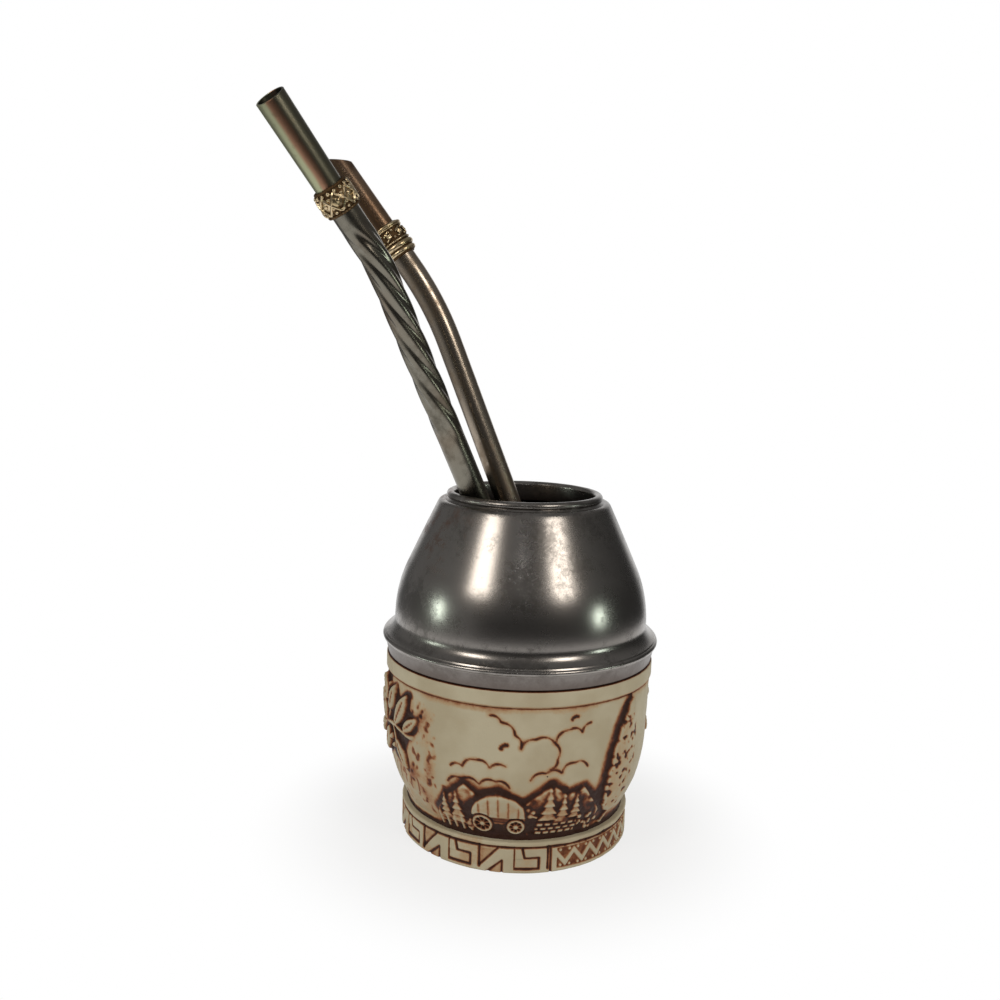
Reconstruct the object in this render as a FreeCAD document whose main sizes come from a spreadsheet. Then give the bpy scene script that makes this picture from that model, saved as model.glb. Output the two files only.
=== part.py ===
"""Mate gourd: a metal cup in a cast resin pot, with two metal drinking straws.

Millimetres. The origin is the centre of the pot's base and +Z is up. The cup's
axis is Z, and both straws lean out of the mouth towards -X.
"""
import FreeCAD, Part
import math
import os
import Sketcher
from FreeCAD import Vector

SIZES = {
    # pot of cast resin
    "ring_radius": 33.5,
    "ring_height": 9.0,
    "ring_round": 0.5,
    "waist_radius": 32.2,
    "waist_top": 11.2,
    "belly_inset": 2.1,
    "belly_height": 31.0,
    "belly_bulge": 45.0,
    "shoulder_inset": 1.6,
    "band_inset": 1.2,
    "band_height": 4.4,
    "pot_height": 53.3,
    # metal cup: the part hidden in the pot
    "cup_radius": 33.0,
    "cup_wall": 1.2,
    "cup_corner": 20.0,
    "cup_floor": 6.0,
    "seat_gap": 0.3,
    # metal cup: flange, dome and rolled rim
    "flange_radius": 40.0,
    "flange_lip": 0.8,
    "hem_height": 4.3,
    "hem_taper": 1.2,
    "flare_radius": 4.2,
    "flare_height": 5.0,
    "dome_inset": 3.4,
    "dome_corner": 38.0,
    "dome_slope": 26.0,
    "dome_bulge": 1500.0,
    "dome_wall": 1.3,
    "dome_top_radius": 24.7,
    "dome_top_drop": 3.05,
    "rim_radius": 21.3,
    "bead_radius": 1.15,
    "cup_height": 100.25,
    "neck_depth": 4.5,
    # straws
    "tube_wall": 0.55,
    "rest_gap": 0.3,
    "lean_gap": 0.2,
    "collar_fit": 0.1,
    # twisted straw
    "twisted_radius": 3.7,
    "twisted_bearing": 208.4,
    "twisted_lean_x": 0.402,
    "twisted_lean_y": 0.36,
    "twisted_mouth_lean_x": 0.66,
    "twisted_mouth_lean_y": 0.42,
    "twisted_bend_start": 65.0,
    "twisted_bend_radius": 60.6,
    "twisted_joint": 89.4,
    "twisted_end": 117.2,
    "twisted_mouth_flare": 0.3,
    "ring_ornament_length": 7.0,
    "ring_ornament_wall": 1.4,
    "ring_ornament_edge": 0.7,
    # plain straw
    "plain_radius": 3.535,
    "plain_entry_y": 4.0,
    "plain_lean": 0.404,
    "plain_mouth_lean": 0.75,
    "plain_bend_start": 46.0,
    "plain_bend_radius": 92.0,
    "plain_joint": 78.0,
    "plain_end": 105.6,
    "collar_length": 10.0,
    "collar_drum_wall": 1.55,
    "collar_waist_wall": 1.05,
    "collar_bead_wall": 1.65,
    "collar_edge": 0.3,
    "collar_drum_share": 0.48,
}

doc = FreeCAD.newDocument("MateGourd")
sheet = doc.addObject("Spreadsheet::Sheet", "Sizes")


def add_cell(row, alias, value):
    """One named size in the sheet."""
    sheet.set(f"A{row}", alias)
    sheet.set(f"B{row}", repr(round(value, 6)))
    sheet.setAlias(f"B{row}", alias)


for row, (alias, value) in enumerate(SIZES.items(), start=1):
    add_cell(row, alias, value)
doc.recompute()


def size(name):
    """The value of a cell."""
    return float(sheet.get(name))


def value_of(text):
    """The value of an expression over the sheet's cells."""
    return float(sheet.evalExpression(text))


def bind(obj, path, text):
    """Tie a property or constraint to an expression over the sheet."""
    obj.setExpression(path, text)


def origin_plane(body, role):
    """One of a body's own origin planes or axes."""
    return next(f for f in body.Origin.OriginFeatures if f.Role == role)


def new_sketch(body, name, role):
    """An empty sketch on one of the body's origin planes."""
    sketch = body.newObject("Sketcher::SketchObject", name)
    sketch.AttachmentSupport = [(origin_plane(body, role), "")]
    sketch.MapMode = "FlatFace"
    return sketch


def fix_vertex(sketch, geometry, vertex, point):
    """Place a vertex with one expression for each coordinate."""
    for kind, axis, text in (("DistanceX", -2, point[0]), ("DistanceY", -1, point[1])):
        value = value_of(text)
        if abs(value) < 1e-9:
            sketch.addConstraint(Sketcher.Constraint("PointOnObject", geometry, vertex, axis))
            continue
        index = sketch.addConstraint(Sketcher.Constraint(kind, -1, 1, geometry, vertex, value))
        bind(sketch, f"Constraints[{index}]", text)


def arc_between(start, end, radius, turn):
    """The short arc from start to end; turn is 1 anticlockwise and -1 clockwise."""
    chord = end - start
    side = Vector(-chord.y, chord.x, 0).normalize() * turn
    rise = math.sqrt(max(radius**2 - chord.Length**2 / 4, 0))
    centre = (start + end) * 0.5 + side * rise
    first, last = (start, end) if turn > 0 else (end, start)
    angles = [math.atan2(p.y - centre.y, p.x - centre.x) for p in (first, last)]
    if angles[1] < angles[0]:
        angles[1] += 2 * math.pi
    return Part.ArcOfCircle(Part.Circle(centre, Vector(0, 0, 1), radius), *angles)


def outline(body, name, runs, role="XZ_Plane"):
    """A closed outline.

    Each run is (x, y) for the end of a straight line or (x, y, radius, turn) for
    the end of an arc, all of them expressions but the turn. The outline starts
    where its last run ends.
    """
    sketch = new_sketch(body, name, role)
    points = [Vector(value_of(run[0]), value_of(run[1]), 0) for run in runs]
    ends = []
    for index, run in enumerate(runs):
        start, end = points[index - 1], points[index]
        if len(run) == 2:
            geometry = sketch.addGeometry(Part.LineSegment(start, end))
            ends.append((geometry, 1, 2))
            continue
        radius = value_of(run[2])
        geometry = sketch.addGeometry(arc_between(start, end, radius, run[3]))
        ends.append((geometry, 1, 2) if run[3] > 0 else (geometry, 2, 1))
    for index, run in enumerate(runs):
        geometry, first, last = ends[index]
        following, joined, _ = ends[(index + 1) % len(ends)]
        sketch.addConstraint(Sketcher.Constraint("Coincident", geometry, last, following, joined))
        fix_vertex(sketch, geometry, last, run)
        if len(run) == 4:
            radius = value_of(run[2])
            number = sketch.addConstraint(Sketcher.Constraint("Radius", geometry, radius))
            bind(sketch, f"Constraints[{number}]", run[2])
    return sketch


def turned(name, runs):
    """A body turned about its own Z axis from one outline."""
    body = doc.addObject("PartDesign::Body", name)
    body.Label = name
    sketch = outline(body, name + "_outline", runs)
    revolution = body.newObject("PartDesign::Revolution", name + "_turn")
    revolution.Profile = sketch
    revolution.ReferenceAxis = (sketch, ["V_Axis"])
    revolution.Angle = 360
    doc.recompute()
    return body


# ---------------------------------------------------------------- cup and pot

def make_resin_pot():
    """The pot: base ring, waist groove, bellied wall and a plain band at the top."""
    cavity = "(Sizes.cup_radius + Sizes.seat_gap)"
    corner = "(Sizes.cup_corner + Sizes.seat_gap)"
    centre_x = "(Sizes.cup_radius - Sizes.cup_corner)"
    centre_z = "(Sizes.cup_floor + Sizes.cup_corner)"
    band_foot = "(Sizes.pot_height - Sizes.band_height)"
    band = "Sizes.flange_radius - Sizes.band_inset"
    shoulder = "Sizes.flange_radius - Sizes.shoulder_inset"
    return turned("resin_pot", [
        (cavity, "Sizes.pot_height"),
        (band, "Sizes.pot_height"),
        (band, band_foot),
        (shoulder, f"{band_foot} - (Sizes.shoulder_inset - Sizes.band_inset)"),
        ("Sizes.flange_radius - Sizes.belly_inset", "Sizes.belly_height"),
        ("Sizes.waist_radius", "Sizes.waist_top", "Sizes.belly_bulge", -1),
        ("Sizes.waist_radius", "Sizes.ring_height"),
        ("Sizes.ring_radius - Sizes.ring_round", "Sizes.ring_height"),
        ("Sizes.ring_radius", "Sizes.ring_height - Sizes.ring_round", "Sizes.ring_round", -1),
        ("Sizes.ring_radius", "Sizes.ring_round"),
        ("Sizes.ring_radius - Sizes.ring_round", "0", "Sizes.ring_round", -1),
        ("0", "0"),
        ("0", "Sizes.cup_floor - Sizes.seat_gap"),
        (centre_x, "Sizes.cup_floor - Sizes.seat_gap"),
        (cavity, centre_z, corner, 1),
    ])


def make_metal_cup():
    """The cup: rolled rim, dome, flared flange with its hem, and the vessel in the pot."""
    bead_z = "(Sizes.cup_height - Sizes.bead_radius)"
    diagonal = "Sizes.bead_radius * sqrt(0.5)"
    flange_z = "(Sizes.pot_height + Sizes.hem_height)"
    lip_z = f"({flange_z} + Sizes.flange_lip)"
    belt_z = f"({lip_z} + Sizes.flare_height)"
    slope = "Sizes.dome_slope * 1deg"
    dome_foot = "(Sizes.flange_radius - Sizes.dome_inset)"
    corner_x = f"({dome_foot} - Sizes.dome_corner)"
    inner_corner = "(Sizes.dome_corner - Sizes.dome_wall)"
    neck = "Sizes.rim_radius - Sizes.bead_radius"
    neck_foot = f"({bead_z} - Sizes.neck_depth)"
    centre_x = "(Sizes.cup_radius - Sizes.cup_corner)"
    centre_z = "(Sizes.cup_floor + Sizes.cup_corner)"
    inside = "(Sizes.cup_radius - Sizes.cup_wall)"
    return turned("metal_cup", [
        (neck, bead_z),
        ("Sizes.rim_radius", "Sizes.cup_height", "Sizes.bead_radius", -1),
        ("Sizes.rim_radius + Sizes.bead_radius", bead_z, "Sizes.bead_radius", -1),
        (f"Sizes.rim_radius + {diagonal}", f"{bead_z} - {diagonal}", "Sizes.bead_radius", -1),
        ("Sizes.dome_top_radius", "Sizes.cup_height - Sizes.dome_top_drop"),
        (f"{corner_x} + Sizes.dome_corner * cos({slope})",
         f"{belt_z} + Sizes.dome_corner * sin({slope})", "Sizes.dome_bulge", -1),
        (dome_foot, belt_z, "Sizes.dome_corner", -1),
        ("Sizes.flange_radius - Sizes.flange_lip", f"{lip_z} + Sizes.flange_lip",
         "Sizes.flare_radius", 1),
        ("Sizes.flange_radius", lip_z, "Sizes.flange_lip", -1),
        ("Sizes.flange_radius - Sizes.flange_lip / 2", flange_z, "Sizes.flange_lip", -1),
        ("Sizes.flange_radius - Sizes.flange_lip / 2 - Sizes.hem_taper", "Sizes.pot_height"),
        ("Sizes.cup_radius", "Sizes.pot_height"),
        ("Sizes.cup_radius", centre_z),
        (centre_x, "Sizes.cup_floor", "Sizes.cup_corner", -1),
        ("0", "Sizes.cup_floor"),
        ("0", "Sizes.cup_floor + Sizes.cup_wall"),
        (centre_x, "Sizes.cup_floor + Sizes.cup_wall"),
        (inside, centre_z, "Sizes.cup_corner - Sizes.cup_wall", 1),
        (inside, "Sizes.pot_height + Sizes.cup_wall"),
        (f"{corner_x} + {inner_corner}", lip_z),
        (f"{corner_x} + {inner_corner}", belt_z),
        (f"{corner_x} + {inner_corner} * cos({slope})",
         f"{belt_z} + {inner_corner} * sin({slope})", inner_corner, 1),
        ("Sizes.dome_top_radius - Sizes.dome_wall / 2", f"{neck_foot} - Sizes.dome_wall"),
        (neck, neck_foot),
    ])


# ---------------------------------------------------------------------- straws

def frame_of(direction, away):
    """The rotation that takes Z to a direction, with -X on the side of away."""
    z_axis = Vector(direction).normalize()
    across = away - z_axis * away.dot(z_axis)
    x_axis = -across.normalize()
    return FreeCAD.Rotation(x_axis, z_axis.cross(x_axis), z_axis, "ZXY")


def vessel_radius(level):
    """The radius of the vessel's inner wall at a level."""
    centre_z = size("cup_floor") + size("cup_corner")
    inner_corner = size("cup_corner") - size("cup_wall")
    if level >= centre_z:
        return size("cup_radius") - size("cup_wall")
    drop = min(centre_z - level, inner_corner)
    return size("cup_radius") - size("cup_corner") + math.sqrt(inner_corner**2 - drop**2)


def depth_to_wall(entry, direction, radius):
    """How far a straw runs down from its entry until its end rests on the wall."""
    down = -direction
    flat = Vector(down.x, down.y, 0).normalize()
    rise = (flat - down * flat.dot(down)).normalize() * radius
    depth = 0.0
    step = 0.05
    while True:
        corner = entry + down * (depth + step) + rise
        reach = math.hypot(corner.x, corner.y) + size("rest_gap")
        if reach > vessel_radius(corner.z) or corner.z < size("cup_floor") + size("cup_wall") + radius:
            return depth
        depth += step


class Straw:
    """The centreline of a bent straw: a straight run, one arc and a straight run."""

    def __init__(self, name, entry, lower, upper):
        self.name = name
        self.lower = Vector(lower).normalize()
        self.upper = Vector(upper).normalize()
        self.radius = size(f"{name}_radius")
        self.bend_start = size(f"{name}_bend_start")
        self.bend_radius = size(f"{name}_bend_radius")
        self.bend_angle = self.lower.getAngle(self.upper)
        self.entry = entry
        self.depth = depth_to_wall(entry, self.lower, self.radius)
        self.foot = entry - self.lower * self.depth
        across = (self.upper - self.lower * self.upper.dot(self.lower)).normalize()
        centre = entry + self.lower * self.bend_start + across * self.bend_radius
        outward = self.upper.cross(self.lower).cross(self.upper).normalize()
        self.bend_end = centre + outward * self.bend_radius
        self.bend_end_length = self.bend_start + self.bend_radius * self.bend_angle

    def place_upper(self, length):
        """The placement of a piece that sits on the upper run."""
        point = self.bend_end + self.upper * (length - self.bend_end_length)
        return FreeCAD.Placement(point, frame_of(self.upper, self.upper - Vector(0, 0, 1)))


def make_tube(straw, row):
    """The tube, from its foot in the cup to the joint with the mouthpiece."""
    name = straw.name
    joint = size(f"{name}_joint")
    add_cell(row, f"{name}_lower_run", straw.depth + straw.bend_start)
    add_cell(row + 1, f"{name}_bend_angle", math.degrees(straw.bend_angle))
    add_cell(row + 2, f"{name}_upper_run", joint - straw.bend_end_length)
    doc.recompute()
    body = doc.addObject("PartDesign::Body", f"{name}_straw_tube")
    body.Label = f"{name}_straw_tube"
    section = new_sketch(body, f"{name}_section", "XY_Plane")
    for text in (f"Sizes.{name}_radius", f"Sizes.{name}_radius - Sizes.tube_wall"):
        circle = section.addGeometry(Part.Circle(Vector(), Vector(0, 0, 1), value_of(text)))
        section.addConstraint(Sketcher.Constraint("Coincident", circle, 3, -1, 1))
        number = section.addConstraint(Sketcher.Constraint("Radius", circle, value_of(text)))
        bind(section, f"Constraints[{number}]", text)
    path = new_sketch(body, f"{name}_path", "XZ_Plane")
    lower_run = size(f"{name}_lower_run")
    upper_run = size(f"{name}_upper_run")
    bend = straw.bend_radius
    angle = straw.bend_angle
    top = Vector(0, lower_run, 0)
    turn = Vector(-bend + bend * math.cos(angle), lower_run + bend * math.sin(angle), 0)
    end = turn + Vector(-math.sin(angle), math.cos(angle), 0) * upper_run
    circle = Part.Circle(Vector(-bend, lower_run, 0), Vector(0, 0, 1), bend)
    first = path.addGeometry(Part.LineSegment(Vector(), top))
    arc = path.addGeometry(Part.ArcOfCircle(circle, 0, angle))
    last = path.addGeometry(Part.LineSegment(turn, end))
    path.addConstraint(Sketcher.Constraint("Coincident", first, 1, -1, 1))
    path.addConstraint(Sketcher.Constraint("Vertical", first))
    path.addConstraint(Sketcher.Constraint("Tangent", first, 2, arc, 1))
    path.addConstraint(Sketcher.Constraint("Tangent", arc, 2, last, 1))
    for constraint, text in (
        (Sketcher.Constraint("Distance", first, lower_run), f"Sizes.{name}_lower_run"),
        (Sketcher.Constraint("Radius", arc, bend), f"Sizes.{name}_bend_radius"),
        (Sketcher.Constraint("Distance", last, upper_run), f"Sizes.{name}_upper_run"),
        (Sketcher.Constraint("Angle", last, math.pi / 2 + angle),
         f"(90 + Sizes.{name}_bend_angle) * 1deg"),
    ):
        number = path.addConstraint(constraint)
        bind(path, f"Constraints[{number}]", text)
    doc.recompute()
    pipe = body.newObject("PartDesign::AdditivePipe", f"{name}_pipe")
    pipe.Profile = section
    pipe.Spine = (path, ["Edge1", "Edge2", "Edge3"])
    body.Placement = FreeCAD.Placement(straw.foot, frame_of(straw.lower, straw.upper))
    doc.recompute()
    return body


def make_twisted_mouthpiece(straw):
    """The slightly flared mouthpiece of the twisted straw, with a rounded lip."""
    length = "(Sizes.twisted_end - Sizes.twisted_joint)"
    lip = "Sizes.tube_wall / 2"
    mouth = "Sizes.twisted_radius + Sizes.twisted_mouth_flare"
    body = turned("twisted_straw_mouthpiece", [
        ("Sizes.twisted_radius - Sizes.tube_wall", "0"),
        ("Sizes.twisted_radius", "0"),
        (mouth, f"{length} - {lip}"),
        (f"{mouth} - {lip}", length, lip, 1),
        (f"{mouth} - Sizes.tube_wall", f"{length} - {lip}", lip, 1),
    ])
    body.Placement = straw.place_upper(size("twisted_joint"))
    return body


def make_ring_ornament(straw):
    """The bulged ring over the joint of the twisted straw."""
    half = "Sizes.ring_ornament_length / 2"
    inner = "(Sizes.twisted_radius + Sizes.collar_fit)"
    bulge = "Sizes.ring_ornament_length * 0.75"
    body = turned("twisted_straw_ring", [
        (inner, f"-{half}"),
        (f"{inner} + Sizes.ring_ornament_edge", f"-{half}"),
        (f"{inner} + Sizes.ring_ornament_wall", "0", bulge, 1),
        (f"{inner} + Sizes.ring_ornament_edge", half, bulge, 1),
        (inner, half),
    ])
    body.Placement = straw.place_upper(size("twisted_joint"))
    return body


def make_collar(straw):
    """The collar of the plain straw: a fat bead below a drum, with a waist between."""
    half = "Sizes.collar_length / 2"
    inner = "(Sizes.plain_radius + Sizes.collar_fit)"
    waist = f"({half} - Sizes.collar_length * Sizes.collar_drum_share)"
    middle = f"(({waist} - {half}) / 2)"
    edge = "Sizes.collar_edge"
    drum = f"{inner} + Sizes.collar_drum_wall"
    body = turned("plain_straw_collar", [
        (inner, f"-{half}"),
        (f"{inner} + {edge}", f"-{half}"),
        (f"{inner} + Sizes.collar_bead_wall", middle, f"({waist} + {half})", 1),
        (f"{inner} + Sizes.collar_waist_wall", waist, f"({waist} + {half})", 1),
        (drum, f"{half} - {edge}"),
        (f"{drum} - {edge}", half, edge, 1),
        (inner, half),
    ])
    body.Placement = straw.place_upper(size("plain_joint"))
    return body


def make_plain_mouthpiece(straw):
    """The mouthpiece of the plain straw, cut off level at the top."""
    lean = "Sizes.plain_mouth_lean"
    length = "(Sizes.plain_end - Sizes.plain_joint)"
    body = turned("plain_straw_mouthpiece", [
        ("Sizes.plain_radius - Sizes.tube_wall", "0"),
        ("Sizes.plain_radius", "0"),
        ("Sizes.plain_radius", f"{length} + Sizes.plain_radius * {lean}"),
        ("Sizes.plain_radius - Sizes.tube_wall", f"{length} + Sizes.plain_radius * {lean}"),
    ])
    reach = "Sizes.plain_radius * 2"
    waste = outline(body, "level_cut", [
        (f"-{reach}", f"{length} + {reach} * {lean}"),
        (reach, f"{length} - {reach} * {lean}"),
        (reach, f"{length} + {reach} * {lean} * 2"),
        (f"-{reach}", f"{length} + {reach} * {lean} * 2"),
    ])
    cut = body.newObject("PartDesign::Pocket", "level_pocket")
    cut.Profile = waste
    cut.Midplane = True
    bind(cut, "Length", "Sizes.plain_radius * 4")
    body.Placement = straw.place_upper(size("plain_joint"))
    return body


def twisted_straw():
    """The straw that leans on the rim, towards -X and -Y."""
    lower = Vector(-size("twisted_lean_x"), -size("twisted_lean_y"), 1)
    upper = Vector(-size("twisted_mouth_lean_x"), -size("twisted_mouth_lean_y"), 1)
    stretch = lower.Length
    neck = size("rim_radius") - size("bead_radius")
    distance = neck - size("rest_gap") - size("twisted_radius") * stretch
    bearing = math.radians(size("twisted_bearing"))
    level = size("cup_height") - size("bead_radius")
    entry = Vector(distance * math.cos(bearing), distance * math.sin(bearing), level)
    return Straw("twisted", entry, lower, upper)


def plain_straw(leaned_on):
    """The straw that leans towards -X, behind the other one and resting on it."""
    lower = Vector(-size("plain_lean"), 0, 1)
    upper = Vector(-size("plain_mouth_lean"), 0, 1)
    normal = leaned_on.lower.cross(lower).normalize()
    apart = size("plain_radius") + leaned_on.radius + size("lean_gap")
    entry = Vector(leaned_on.entry.x, size("plain_entry_y"), leaned_on.entry.z)
    offset = (entry - leaned_on.entry).dot(normal)
    entry.x += (math.copysign(apart, normal.x) - offset) / normal.x
    return Straw("plain", entry, lower, upper)


def make_all():
    """Every sub-part of the model."""
    twisted = twisted_straw()
    plain = plain_straw(twisted)
    row = len(SIZES) + 1
    return [
        make_resin_pot(),
        make_metal_cup(),
        make_tube(twisted, row),
        make_twisted_mouthpiece(twisted),
        make_ring_ornament(twisted),
        make_tube(plain, row + 3),
        make_plain_mouthpiece(plain),
        make_collar(plain),
    ]


def check(nodes):
    """Stop unless every object has recomputed and every sub-part is one sound solid."""
    doc.recompute()
    for obj in doc.Objects:
        if "Invalid" in obj.State or "Error" in obj.State:
            raise SystemExit(f"{obj.Label} failed: {obj.State}")
    for node in nodes:
        shape = node.Shape
        if shape.isNull() or not shape.isValid() or len(shape.Solids) != 1:
            raise SystemExit(f"{node.Label} is not one sound solid")


def main():
    nodes = make_all()
    check(nodes)
    os.makedirs("parts", exist_ok=True)
    for node in nodes:
        node.Shape.exportStep(f"parts/{node.Label}.step")
        box = node.Shape.BoundBox
        print(f"{node.Label}: volume {node.Shape.Volume:.1f}",
              f"x {box.XMin:.2f} {box.XMax:.2f} y {box.YMin:.2f} {box.YMax:.2f}",
              f"z {box.ZMin:.2f} {box.ZMax:.2f}")


main()
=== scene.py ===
"""Mate gourd with two metal straws: pieces, materials, light and camera. Metres, +Z up."""

import math

import bmesh
import bpy
import numpy as np
from mathutils import Matrix, Vector


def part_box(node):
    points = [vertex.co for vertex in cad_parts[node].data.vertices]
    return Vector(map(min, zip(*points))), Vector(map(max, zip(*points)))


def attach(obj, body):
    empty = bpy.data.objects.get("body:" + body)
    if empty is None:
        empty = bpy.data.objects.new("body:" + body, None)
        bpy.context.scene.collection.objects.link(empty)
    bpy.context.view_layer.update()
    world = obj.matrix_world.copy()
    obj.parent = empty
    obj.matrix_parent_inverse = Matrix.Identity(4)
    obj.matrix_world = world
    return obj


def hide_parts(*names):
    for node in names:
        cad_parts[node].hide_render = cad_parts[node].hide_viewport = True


MM = 0.001
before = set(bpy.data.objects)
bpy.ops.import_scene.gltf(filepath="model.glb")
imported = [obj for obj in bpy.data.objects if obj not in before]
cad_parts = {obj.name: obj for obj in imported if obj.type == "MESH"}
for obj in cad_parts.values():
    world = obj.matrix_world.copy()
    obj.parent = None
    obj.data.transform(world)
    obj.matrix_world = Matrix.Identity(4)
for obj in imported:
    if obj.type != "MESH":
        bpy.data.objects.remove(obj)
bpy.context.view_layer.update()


# ------------------------------------------------------------------ shader maths

class Value:
    """A node socket that takes part in arithmetic."""

    def __init__(self, nodes, socket):
        self.nodes = nodes
        self.socket = socket

    def _math(self, operation, *others):
        inputs = dict(enumerate((self, *others)))
        return self.nodes.node("ShaderNodeMath", {"operation": operation}, inputs)

    def __add__(self, other):
        return self._math("ADD", other)

    __radd__ = __add__

    def __mul__(self, other):
        return self._math("MULTIPLY", other)

    __rmul__ = __mul__

    def __sub__(self, other):
        return self._math("SUBTRACT", other)

    def __rsub__(self, other):
        return (self * -1.0) + other

    def __truediv__(self, other):
        return self._math("DIVIDE", other)

    def __pow__(self, other):
        return self._math("POWER", other)

    def most(self, other):
        return self._math("MAXIMUM", other)

    def step(self, low, high, start=0.0, end=1.0):
        """A smooth rise from start to end as the value goes from low to high."""
        inputs = {"Value": self, "From Min": low, "From Max": high, "To Min": start, "To Max": end}
        return self.nodes.node("ShaderNodeMapRange", {"interpolation_type": "SMOOTHSTEP"}, inputs)


class Nodes:
    """A node tree that is written by expressions."""

    def __init__(self, tree):
        self.tree = tree

    def node(self, kind, settings=None, inputs=None, output=0):
        """A new node; settings come first, then its sockets' values or links."""
        node = self.tree.nodes.new(kind)
        for key, value in (settings or {}).items():
            setattr(node, key, value)
        for key, value in (inputs or {}).items():
            if isinstance(value, Value):
                self.tree.links.new(value.socket, node.inputs[key])
            else:
                node.inputs[key].default_value = value
        return Value(self, node.outputs[output])

    def axes(self, vector):
        """The three parts of a vector."""
        split = self.node("ShaderNodeSeparateXYZ", inputs={0: vector}).socket.node
        return (Value(self, split.outputs[i]) for i in range(3))

    def seen_rays(self):
        """A mask that is 1 for camera, glossy and transmission rays."""
        paths = self.node("ShaderNodeLightPath", output="Is Camera Ray")
        total = paths
        for name in ("Is Glossy Ray", "Is Transmission Ray"):
            total = total.most(Value(self, paths.socket.node.outputs[name]))
        return total


class Shade(Nodes):
    """A material with one Principled shader, built by expressions."""

    def __init__(self, name, metallic=0.0, specular=0.5):
        self.material = bpy.data.materials.new(name)
        self.material.use_nodes = True
        super().__init__(self.material.node_tree)
        self.tree.nodes.clear()
        self.output = self.tree.nodes.new("ShaderNodeOutputMaterial")
        self.principled = self.tree.nodes.new("ShaderNodeBsdfPrincipled")
        self.principled.inputs["Metallic"].default_value = metallic
        self.principled.inputs["Specular IOR Level"].default_value = specular
        self.tree.links.new(self.principled.outputs[0], self.output.inputs["Surface"])
        self.point = self.node("ShaderNodeTexCoord", output="Object")
        self.x, self.y, self.z = self.axes(self.point)

    def scaled(self, *factors):
        """Object coordinates stretched by a factor for each axis."""
        inputs = {0: self.point, 1: factors}
        return self.node("ShaderNodeVectorMath", {"operation": "MULTIPLY"}, inputs)

    def noise(self, scale, detail=3.0, rough=0.55, vector=None):
        """Noise from 0 to 1 with features of about 1/scale metres."""
        inputs = {"Vector": vector or self.point, "Scale": scale, "Detail": detail, "Roughness": rough}
        return self.node("ShaderNodeTexNoise", inputs=inputs)

    def cells(self, scale):
        """Distance to the nearest point of a random scatter."""
        return self.node("ShaderNodeTexVoronoi", inputs={"Vector": self.point, "Scale": scale})

    def attribute(self, name):
        """A value stored on the piece's vertices."""
        return self.node("ShaderNodeAttribute", {"attribute_name": name}, output="Fac")

    def mix(self, factor, low, high):
        """A colour between two colours."""
        settings = {"data_type": "RGBA"}
        low, high = (c if isinstance(c, Value) else (*c, 1.0) for c in (low, high))
        return self.node("ShaderNodeMix", settings, {0: factor, 6: low, 7: high}, output=2)

    def finish(self, colour, roughness, height, distance):
        """Connect the colour, the roughness and a bump height."""
        bump = self.node("ShaderNodeBump", inputs={"Height": height, "Distance": distance, "Strength": 1.0})
        links = {"Base Color": colour, "Roughness": roughness, "Normal": bump}
        for name, value in links.items():
            self.tree.links.new(value.socket, self.principled.inputs[name])
        return self.material


# ---------------------------------------------------------------------- finishes

def dome_metal():
    """Tarnished nickel silver: mottled on the dome, matte and paler on the hem, with painted shade
    darkening the hem's foot and the cup's inside.
    """
    shade = Shade("dome metal", metallic=1.0)
    turned = shade.noise(1.0, 2.0, 0.6, shade.scaled(60, 60, 2600))
    blotch = shade.noise(55, 4.0, 0.62)
    speck = shade.noise(520, 3.0, 0.7)
    inside = shade.attribute("inside")
    hem = shade.z.step(0.0577, 0.0572)
    dust = shade.noise(1900, 2.0, 0.6)
    mottle = blotch * 0.66 + speck * 0.24 + dust * 0.10
    stain = mottle.step(0.46, 0.60) * (1.0 - hem)
    rust_side = (shade.x * -1.0).step(0.010, 0.024) * shade.z.step(0.076, 0.090)
    rust = shade.noise(150, 4.0, 0.75).step(0.47, 0.66) * rust_side
    colour = shade.mix(stain, (0.285, 0.263, 0.243), (0.155, 0.142, 0.130))
    colour = shade.mix(rust * 0.7, colour, (0.17, 0.075, 0.045))
    # painted shade: a mask that darkens the hem towards its foot
    hem_foot_shade = shade.z.step(0.0570, 0.0535)
    colour = shade.mix(hem, colour, (0.205, 0.185, 0.170))
    colour = shade.mix(hem * mottle.step(0.42, 0.58), colour, (0.140, 0.122, 0.110))
    # painted shade: the hem is painted darker towards its foot
    colour = shade.mix(hem * hem_foot_shade * 0.75, colour, (0.130, 0.105, 0.092))
    # painted shade: the cup's inside below the rim is painted near black
    colour = shade.mix(inside, colour, (0.05, 0.04, 0.035))
    rough = 0.22 + turned * 0.04 + stain * 0.07 + rust * 0.15
    rough = rough * (1.0 - hem) + hem * (0.33 + speck * 0.1)
    rough = rough * (1.0 - inside * 0.4) + inside * 0.25
    return shade.finish(colour, rough, turned * 0.5 + speck * 0.2, 0.000004)


def tube_metal(name, bright, dark, brown, roughness):
    """Polished straw metal with warm tarnish in long patches and its bore painted near black as shade."""
    shade = Shade(name, metallic=1.0)
    patch = shade.noise(70, 3.0, 0.6)
    grime = shade.noise(420, 4.0, 0.7)
    tarnish = (patch * 0.7 + grime * 0.3).step(0.44, 0.60)
    warm = shade.noise(38, 2.0, 0.5).step(0.45, 0.62)
    colour = shade.mix(tarnish, bright, dark)
    colour = shade.mix(warm * 0.6, colour, brown)
    worn = shade.mix(tarnish, (0.38, 0.32, 0.255), (0.24, 0.185, 0.135))
    colour = shade.mix(shade.attribute("warmth"), colour, worn)
    recess = shade.attribute("recess")
    # painted shade: the bore, marked as a recess, is painted near black
    colour = shade.mix(recess * 0.95, colour, (0.02, 0.018, 0.015))
    rough = roughness + tarnish * 0.12 + grime * 0.06 + recess * 0.15
    return shade.finish(colour, rough, grime * 0.5 + patch * 0.3, 0.000005)


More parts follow.
